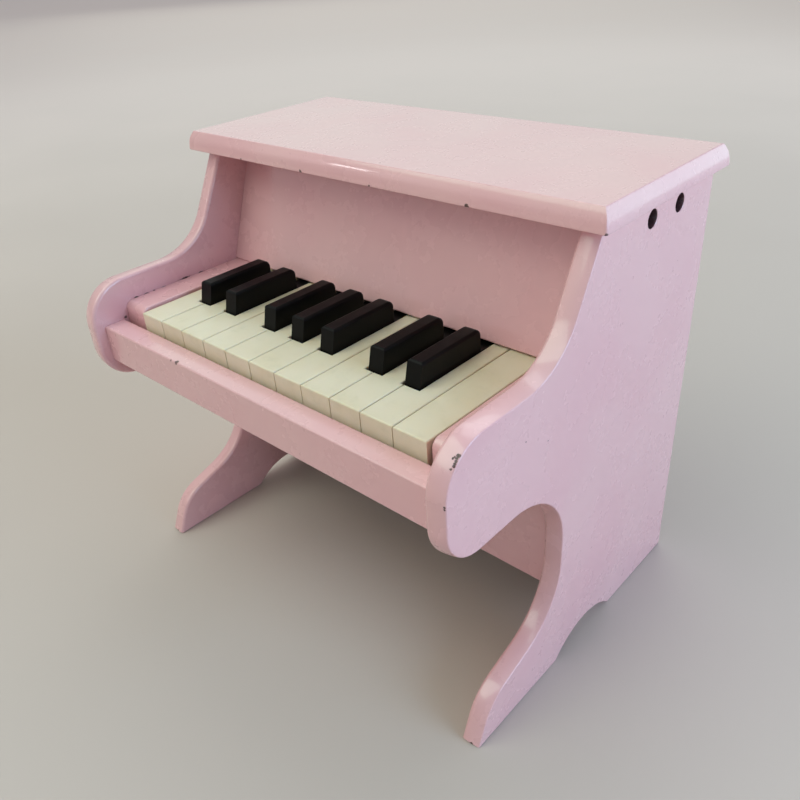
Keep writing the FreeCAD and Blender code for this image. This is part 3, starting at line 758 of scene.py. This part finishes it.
@dataclass
class Case:
    """The painted boards that make the piano's body."""

    paint: PaintFinish = PaintFinish()
    inner: float = 132.0
    outer: float = 143.0
    height: float = 260.0
    inner_round: float = 2.2
    outer_round: float = 0.8
    side_lean: float = 16.0
    floor_ease: float = 0.4
    brow_fwd: float = 113.5
    arch_middle: float = 101.5
    arch_half: float = 28.0
    arch_rise: float = 11.4
    arch_steps: int = 24
    hole_fwd: float = 52.8
    hole_gap: float = 28.5
    hole_height: float = 249.8
    hole_radius: float = 4.5
    lid_half: float = 150.0
    lid_fwd: float = 123.8
    lid_corner: float = 1.2
    lid_thick: float = 11.3
    lid_foot_round: float = 0.45
    lid_shoulder_round: float = 1.0
    lid_lean: float = 34.0
    lid_steps: int = 8
    joint_round: float = 0.25
    cheek_round: float = 1.2
    left_cheek_end: float = -112.1
    right_cheek_end: float = 116.4
    board_fleck: float = 0.3
    # Toe, instep, foot and head of the leg, lower and upper nose of the arm, then the foot of the brow.
    sweep: Sequence[Corner] = (
        Corner(207.0, 0, 1.2, 4), Corner(195.4, 26.9, 30, 14), Corner(133, 47.1, 44, 24),
        Corner(133, 138.6, 44, 32), Corner(225.6, 138.6, 23, 24), Corner(225.6, 202.3, 26, 26),
        Corner(143.5, 202.3, 40, 24),
    )
    # Sections of the boards between the sides.
    fallboard: Sequence[Corner] = (
        Corner(80.92, 260, 0.5), Corner(107.49, 187, 0.8), Corner(116, 187, 1.0), Corner(89.43, 260, 0.5),
    )
    key_slip: Sequence[Corner] = (
        Corner(205, 153, 1.2), Corner(218.8, 153, 1.4, 5), Corner(218.8, 176.5, 1.0, 6),
        Corner(205, 176.5, 1.2, 5),
    )
    cheek: Sequence[Corner] = (
        Corner(107.49, 162), Corner(202, 162), Corner(202, 187, 5, 10), Corner(107.49, 187),
    )
    knee_panel: Sequence[Corner] = (
        Corner(121, 52.5, 1.2), Corner(128, 52.5, 1.2), Corner(128, 153), Corner(121, 153),
    )
    side_chips: Sequence[Chip] = (
        Chip(141.7, 214.2, 196.6, 1.0), Chip(141.8, 215.1, 195.9, 0.8), Chip(141.9, 216.1, 195.1, 0.75),
        Chip(142.0, 216.9, 194.3, 0.75), Chip(142.0, 217.6, 193.6, 0.7), Chip(140.7, 215.3, 196.1, 0.6),
        Chip(140.2, 216.0, 195.7, 0.55), Chip(141.4, 218.8, 192.4, 0.55), Chip(142.2, 224.5, 177.2, 0.6),
        Chip(142.2, 224.5, 176.0, 0.5), Chip(138.5, 206.6, 0.4, 1.4), Chip(143, 168.9, 178.5, 0.4),
        Chip(143, 150.8, 169.0, 0.4), Chip(-137, 206.4, 0.6, 1.2),
    )
    lid_chips: Sequence[Chip] = (
        Chip(-41.9, 123.2, 260.6, 1.3), Chip(76.5, 123.2, 260.5, 1.5), Chip(149.5, 123.3, 260.4, 0.9),
        Chip(12, 123.4, 260.5, 0.8), Chip(-96, 123.4, 260.5, 0.9),
    )
    slip_chips: Sequence[Chip] = (
        Chip(-55.5, 218.2, 176.2, 1.5), Chip(-60.5, 218.4, 175.8, 0.7),
    )
    joint_cracks: Sequence[Chip] = (
        Chip(-132, 157.7, 187, 0.8, 4.5), Chip(-132, 145, 187, 0.5, 4), Chip(-131.7, 174, 187, 0.35, 5),
        Chip(-131.6, 181.2, 187, 0.6, 1.5), Chip(-131.8, 186.8, 187, 0.35, 6),
        Chip(-131.8, 194, 187, 0.55, 3), Chip(-132, 204.2, 177.4, 0.9),
    )

    def side_outline(self) -> Outline:
        """Draw the sweep of a side, from its rear foot along the floor and round."""
        rise, half = self.arch_rise, self.arch_half
        radius = (half * half + rise * rise) / (2 * rise)
        reach = math.asin(half / radius)
        corners = [Corner(0, 0, 1.0, 3, self.floor_ease)]
        for step in range(self.arch_steps + 1):
            angle = reach * (2 * step / self.arch_steps - 1)
            u = self.arch_middle + radius * math.sin(angle)
            v = radius * math.cos(angle) - radius + rise
            last = step == self.arch_steps
            corners.append(Corner(u, v, 0, 0, self.floor_ease if last else 1.0))
        top = (Corner(self.brow_fwd, self.height, 0.4, 2, 0.0), Corner(0, self.height, 0.4, 2))
        return Outline((*corners, *self.sweep, *top))

    def sides(self) -> None:
        """Build both sides, with their sound holes, and paint them."""
        gap = self.hole_gap / 2
        holes = [RoundHole(self.hole_fwd + way * gap, self.hole_height, self.hole_radius) for way in (-1, 1)]
        paint = self.paint.material("side_enamel", (*self.side_chips, *self.joint_cracks))
        for side, axis in (("left_side", Axis.LEFTWARD), ("right_side", Axis.ACROSS)):
            board = Board(self.side_outline(), axis, self.inner, self.outer, self.inner_round,
                          self.outer_round, holes, lean=self.side_lean)
            settle(side + "_board", board.mesh(side + "_board"), paint, "pink_paint", side + "_panel")

    def lid(self) -> None:
        """Build the overhanging lid, with its edges bowed inwards towards the top."""
        half, fwd = self.lid_half, self.lid_fwd
        places = ((-half, fwd), (-half, 0), (half, 0), (half, fwd))
        outline = Outline([Corner(u, v, self.lid_corner, 5) for u, v in places])
        board = Board(outline, Axis.UP, self.height, self.height + self.lid_thick, self.lid_foot_round,
                      self.lid_shoulder_round, steps=self.lid_steps, lean=self.lid_lean)
        paint = self.paint.material("lid_enamel", self.lid_chips)
        settle("lid_board", board.mesh("lid_board"), paint, "pink_paint", "lid")

    def boards(self) -> None:
        """Build the plain boards between the sides and paint them."""
        chips = (*self.slip_chips, *self.joint_cracks)
        paint = self.paint.material("case_enamel", chips, self.board_fleck)
        inner, joint, eased = self.inner, self.joint_round, self.cheek_round
        plans = (
            ("fallboard", self.fallboard, -inner, inner, joint, joint),
            ("key_slip", self.key_slip, -inner, inner, joint, joint),
            ("left_cheek_block", self.cheek, -inner, self.left_cheek_end, joint, eased),
            ("right_cheek_block", self.cheek, self.right_cheek_end, inner, eased, joint),
            ("knee_panel", self.knee_panel, -inner, inner, joint, joint),
        )
        for node, corners, *sizes in plans:
            board = Board(Outline(corners), Axis.ACROSS, *sizes)
            settle(node + "_board", board.mesh(node + "_board"), paint, "pink_paint", node)

    def build(self) -> None:
        """Build and paint the whole case."""
        self.sides()
        self.lid()
        self.boards()


@dataclass
class Back:
    """The hardboard back and the screws that hold it to the key bed."""

    inner: float = 132.0
    rear: float = 3.0
    front: float = 7.0
    foot: float = 20.0
    head: float = 260.0
    edge_round: float = 0.4
    hardboard: WoodFinish = WoodFinish(
        "hardboard", paint_code(150, 108, 72), paint_code(120, 82, 52), (1, 1, 0.35), (0.49, 0.63))
    screw_height: float = 157.5
    screw_count: int = 5
    screw_reach: float = 118.0
    head_radius: float = 3.0
    head_height: float = 1.8
    head_sides: int = 32
    shank_radius: float = 1.5
    shank_length: float = 16.0
    shank_sides: int = 20
    recess_width: float = 0.75
    recess_reach: float = 3.3
    recess_depth: float = 1.1

    def panel(self) -> None:
        """Build the back panel from hardboard."""
        inner, foot, head = self.inner, self.foot, self.head
        places = ((-inner, foot), (inner, foot), (inner, head), (-inner, head))
        outline = Outline([Corner(u, v) for u, v in places])
        board = Board(outline, Axis.DEEP, self.rear, self.front, self.edge_round, self.edge_round)
        wood = self.hardboard.material()
        settle("back_board", board.mesh("back_board"), wood, "back_board", "back_panel")

    def screws(self, steel: Material) -> None:
        """Build the row of cross-headed screws."""
        tree = RuleTree(
            "screw_row", steel, spot(0, self.rear, self.screw_height), self.screw_count,
            reach=self.screw_reach,
            head_radius=self.head_radius,
            head_height=self.head_height,
            shank_radius=self.shank_radius,
            shank_length=self.shank_length,
            recess_width=self.recess_width,
            recess_reach=self.recess_reach,
            recess_depth=self.recess_depth,
        )
        given = tree.given
        head = tree.dome(given["head_radius"], given["head_height"], self.head_sides)
        depth = tree.math("MULTIPLY", given["recess_depth"], 2.0)
        bar = tree.vector(given["recess_reach"], given["recess_width"], depth)
        slot = tree.out("GeometryNodeMeshCube", {"Size": bar})
        high = tree.vector(z=given["head_height"])
        cross = tree.add("GeometryNodeMeshBoolean", {}, operation="UNION", solver="EXACT")
        for turn in (0, math.pi / 2):
            tree.tree.links.new(tree.move(slot, high, (0, 0, turn)), cross.inputs["Mesh 2"])
        plugs = {"Mesh 1": head, "Mesh 2": cross.outputs[0]}
        carved = tree.out("GeometryNodeMeshBoolean", plugs, operation="DIFFERENCE", solver="EXACT")
        sunk = tree.vector(z=tree.math("MULTIPLY", given["shank_length"], -0.5))
        rod = tree.rod(given["shank_radius"], given["shank_length"], self.shank_sides)
        screw = tree.join(carved, tree.move(rod, sunk))
        start = tree.vector(tree.math("MULTIPLY", given["reach"], -1.0))
        ends = {"Count": given["count"], "Start Location": start, "Offset": tree.vector(given["reach"])}
        row = tree.out("GeometryNodeMeshLine", ends, mode="END_POINTS")
        stood = tree.move(screw, (0, 0, 0), (-math.pi / 2, 0, 0))
        each = tree.out("GeometryNodeInstanceOnPoints", {"Points": row, "Instance": stood})
        settle("cross_head_screws", tree.finish(each), steel, "steel", "back_panel_screws")

    def build(self, steel: Material) -> None:
        """Build the back and its screws."""
        self.panel()
        self.screws(steel)


@dataclass
class Chimes:
    """The row of chime bars and the pins that hold them over their rails."""

    count: int = 18
    key_left: float = -109.9
    pitch: float = 20.5
    longest: float = 72.0
    step: float = 1.4
    width: float = 9.0
    thick: float = 2.5
    corner: float = 0.45
    corner_steps: int = 3
    middle: float = 51.0
    under: float = 228.03
    rail_spread: float = 33.0
    pin_radius: float = 0.8
    pin_head: float = 1.8
    pin_head_height: float = 1.0
    pin_sides: int = 12
    pin_head_sides: int = 16
    pin_foot: float = 220.03
    pin_top: float = 231.03
    # Notes and white keys in the lower and upper groups of an octave.
    lower_notes: int = 5
    lower_whites: int = 3
    upper_notes: int = 7
    upper_whites: int = 4

    def lanes(self, tree: RuleTree, note: Socket) -> Socket:
        """Work out how far right of the middle the lane of a note is, with notes counted from nought."""
        notes, whites = self.lower_notes + self.upper_notes, self.lower_whites + self.upper_whites
        split = self.lower_notes - 0.5
        octave = tree.math("FLOOR", tree.math("DIVIDE", note, notes))
        degree = tree.math("MODULO", note, notes)
        below = tree.math("ADD", degree, 0.5)
        lower = tree.math("MULTIPLY", below, self.lower_whites / self.lower_notes)
        above = tree.math("SUBTRACT", degree, split)
        upper = tree.math("MULTIPLY_ADD", above, self.upper_whites / self.upper_notes, self.lower_whites)
        high = tree.math("GREATER_THAN", degree, split)
        within = tree.out("ShaderNodeMix", {0: high, 2: lower, 3: upper}, data_type="FLOAT")
        lane = tree.math("MULTIPLY_ADD", octave, whites, within)
        return tree.math("MULTIPLY_ADD", lane, tree.given["pitch"], tree.given["key_left"])

    def bars(self, metal: Material) -> None:
        """Build the bars, each shorter than the one to its left."""
        tree = RuleTree(
            "chime_row", metal, spot(0, self.middle, self.under + self.thick / 2), self.count,
            key_left=self.key_left,
            pitch=self.pitch,
            longest=self.longest,
            step=self.step,
            width=self.width,
            thickness=self.thick,
            corner=self.corner,
        )
        given = tree.given
        sizes = {"Width": given["width"], "Height": given["thickness"]}
        section = tree.out("GeometryNodeCurvePrimitiveQuadrilateral", sizes)
        corners = {"Curve": section, "Count": self.corner_steps, "Radius": given["corner"]}
        rounded = tree.out("GeometryNodeFilletCurve", corners, mode="POLY")
        spine = tree.out("GeometryNodeCurvePrimitiveLine", {"Start": (0, -0.5, 0), "End": (0, 0.5, 0)})
        swept = {"Curve": spine, "Profile Curve": rounded, "Fill Caps": True}
        bar = tree.out("GeometryNodeCurveToMesh", swept)
        note = tree.out("GeometryNodeInputIndex", {})
        length = tree.math("SUBTRACT", given["longest"], tree.math("MULTIPLY", note, given["step"]))
        where = tree.vector(self.lanes(tree, note))
        each = tree.spread(bar, where, tree.vector(1.0, length, 1.0))
        settle("chime_row", tree.finish(each), metal, "chime_metal", "chime_bars")

    def pins(self, steel: Material) -> None:
        """Build the two rows of headed pins."""
        tree = RuleTree(
            "pin_rows", steel, spot(0, self.middle, self.pin_foot), 2 * self.count,
            key_left=self.key_left,
            pitch=self.pitch,
            spread=self.rail_spread,
            radius=self.pin_radius,
            length=self.pin_top - self.pin_foot,
            head_radius=self.pin_head,
            head_height=self.pin_head_height,
        )
        given = tree.given
        middle = tree.vector(z=tree.math("MULTIPLY", given["length"], 0.5))
        shaft = tree.move(tree.rod(given["radius"], given["length"], self.pin_sides), middle)
        top = tree.vector(z=given["length"])
        cap = tree.dome(given["head_radius"], given["head_height"], self.pin_head_sides, top)
        index = tree.out("GeometryNodeInputIndex", {})
        note = tree.math("FLOOR", tree.math("DIVIDE", index, 2.0))
        side = tree.math("SUBTRACT", tree.math("MODULO", index, 2.0), 0.5)
        where = tree.vector(self.lanes(tree, note), tree.math("MULTIPLY", side, given["spread"]))
        each = tree.spread(tree.join(shaft, cap), where)
        settle("chime_pin_rows", tree.finish(each), steel, "steel", "chime_pins")

    def build(self, metal: Material, steel: Material) -> None:
        """Build the bars and pins."""
        self.bars(metal)
        self.pins(steel)


@dataclass
class Keyboard:
    """The plastic keys, which keep their CAD shapes."""

    ivory: PlasticFinish = PlasticFinish(
        "cream_keys", paint_code(226, 213, 190), paint_code(220, 205, 178), paint_code(196, 186, 160),
        roughness=(0.29, 0.42), glow=0.3)
    ebony: PlasticFinish = PlasticFinish(
        "black_keys", paint_code(6, 5, 5), paint_code(9, 7, 7), paint_code(15, 13, 12),
        roughness=(0.35, 0.48), grain=9e-6, pits=3e-5, shine=0.13)
    white_count: int = 11
    black_count: int = 7

    def build(self) -> None:
        """Dress the keys."""
        dress(numbered("white_key", self.white_count), self.ivory.material())
        dress(numbered("black_key", self.black_count), self.ebony.material())


@dataclass
class Action:
    """The hammers, axles, rails and felts inside the case, which keep their CAD shapes."""

    arm: PlasticFinish = PlasticFinish(
        "hammer_plastic", paint_code(206, 200, 186), paint_code(196, 190, 174), paint_code(160, 150, 132),
        roughness=(0.37, 0.5))
    pine: WoodFinish = WoodFinish(
        "bare_pine", paint_code(214, 180, 134), paint_code(186, 146, 98), (0.12, 1, 1))
    felt: FeltFinish = FeltFinish()
    hammer_count: int = 18

    def build(self, steel: Material) -> None:
        """Dress the action, with its axles in steel."""
        dress(numbered("hammer", self.hammer_count), self.arm.material())
        dress(["key_bed", "left_action_bracket", "right_action_bracket", "rear_chime_rail",
               "front_chime_rail", "key_rest_rail"], self.pine.material())
        dress(["chime_felts", "key_rest_felt", "key_stop_felt"], self.felt.material())
        dress(["key_axle", "hammer_axle"], steel)


@dataclass(frozen=True)
class SoftLight:
    """A square soft box that points at a place."""

    name: str
    place: Triple
    aim: Triple
    size: float
    power: float
    colour: Triple

    def hang(self) -> None:
        """Add the light to the scene."""
        lamp = bpy.data.lights.new(self.name, "AREA")
        lamp.shape = "SQUARE"
        lamp.size = self.size
        lamp.energy = self.power
        lamp.color = self.colour
        holder = link(self.name, lamp)
        holder.location = self.place
        holder.rotation_euler = (Vector(self.aim) - Vector(self.place)).to_track_quat("-Z", "Y").to_euler()
        holder.visible_camera = False


@dataclass
class Studio:
    """Pale floor, soft light and the camera."""

    floor_half: float = 40.0
    floor_cells: int = 8
    floor: FloorFinish = FloorFinish()
    ambient: Colour = (0.89, 0.95, 1.0, 1.0)
    ambient_strength: float = 0.353
    camera_place: Triple = (0.2992, -0.2925, 0.3763)
    azimuth: float = 44.43
    elevation: float = 31.64
    roll: float = -4.21
    lens: float = 34.84
    sensor: float = 36.0
    near_limit: float = 0.01
    lights: Sequence[SoftLight] = (
        SoftLight("cool_right", (1.7, 0.3, 0.7), (0.05, 0.0, 0.12), 1.2, 25.2, (0.46, 0.73, 1.0)),
        SoftLight("front_left", (-1.0, -1.3, 1.2), (0.0, 0.0, 0.15), 1.4, 3.4, (1.0, 0.77, 0.77)),
        SoftLight("small_lamp", (-1.42, -1.3, 0.88), (0.0, 0.0, 0.23), 0.1, 0.5, (1.0, 1.0, 1.0)),
        SoftLight("high_front", (-0.5, -0.9, 1.7), (0.0, 0.0, 0.15), 1.6, 18.6, (0.79, 1.0, 0.83)),
        SoftLight("overhead", (-0.27, 1.15, 2.25), (0.13, -0.06, 0.2), 1.5, 10.5, (0.88, 0.98, 1.0)),
        SoftLight("rear_sheen", (-2.7, 3.06, 2.5), (0.0, 0.0, 0.25), 4.3, 26.5, (0.87, 1.0, 0.87)),
        SoftLight("rear_right", (1.3, 2.1, 0.64), (0.15, 0.0, 0.27), 1.2, 7.0, (0.8, 1.0, 1.0)),
        SoftLight("far_floor", (-5.0, 4.2, 4.5), (-5.0, 4.2, 0.0), 10.0, 79.0, (0.97, 1.0, 0.95)),
    )

    def stand(self) -> None:
        """Lay the floor."""
        work = bmesh.new()
        cells = self.floor_cells
        bmesh.ops.create_grid(work, x_segments=cells, y_segments=cells, size=self.floor_half)
        mesh = bpy.data.meshes.new("pale_floor")
        work.to_mesh(mesh)
        work.free()
        mesh.materials.append(self.floor.material())
        ground = link("pale_floor", mesh)

    def light(self) -> None:
        """Hang the soft boxes and set the even light of the room."""
        for lamp in self.lights:
            lamp.hang()
        world = bpy.data.worlds.new("even_light")
        world.use_nodes = True
        back = world.node_tree.nodes["Background"]
        back.inputs["Color"].default_value = self.ambient
        back.inputs["Strength"].default_value = self.ambient_strength
        bpy.context.scene.world = world

    def camera(self) -> None:
        """Stand the camera where the object is seen from its front right."""
        turn, tilt, roll = (math.radians(v) for v in (self.azimuth, self.elevation, self.roll))
        back = Vector((math.sin(turn) * math.cos(tilt), -math.cos(turn) * math.cos(tilt), math.sin(tilt)))
        right = Vector((0, 0, 1)).cross(back).normalized()
        up = back.cross(right)
        across = right * math.cos(roll) + up * math.sin(roll)
        upward = up * math.cos(roll) - right * math.sin(roll)
        view = bpy.data.cameras.new("front_right")
        view.lens = self.lens
        view.sensor_width = self.sensor
        view.clip_start = self.near_limit
        holder = link("front_right", view)
        facing = Matrix((across, upward, back)).transposed().to_4x4()
        holder.matrix_world = Matrix.Translation(self.camera_place) @ facing
        bpy.context.scene.camera = holder

    def build(self) -> None:
        """Set up the studio."""
        self.stand()
        self.light()
        self.camera()
        bpy.context.scene.view_settings.view_transform = "Standard"


def main() -> None:
    """Build and dress every piece in order, then set up the studio."""
    logging.basicConfig(level=logging.INFO, format="%(name)s %(message)s")
    steel = MetalFinish(
        "plain_steel", paint_code(196, 194, 190), paint_code(150, 146, 140),
        stretch=(1, 1, 1), roughness=(0.24, 0.4)).material()
    chime = MetalFinish(
        "chime_steel", paint_code(208, 206, 202), paint_code(172, 166, 158),
        stretch=(1, 0.06, 1), roughness=(0.2, 0.36)).material()
    Case().build()
    Back().build(steel)
    Chimes().build(chime, steel)
    Keyboard().build()
    Action().build(steel)
    Studio().build()


if __name__ == "__main__":
    main()
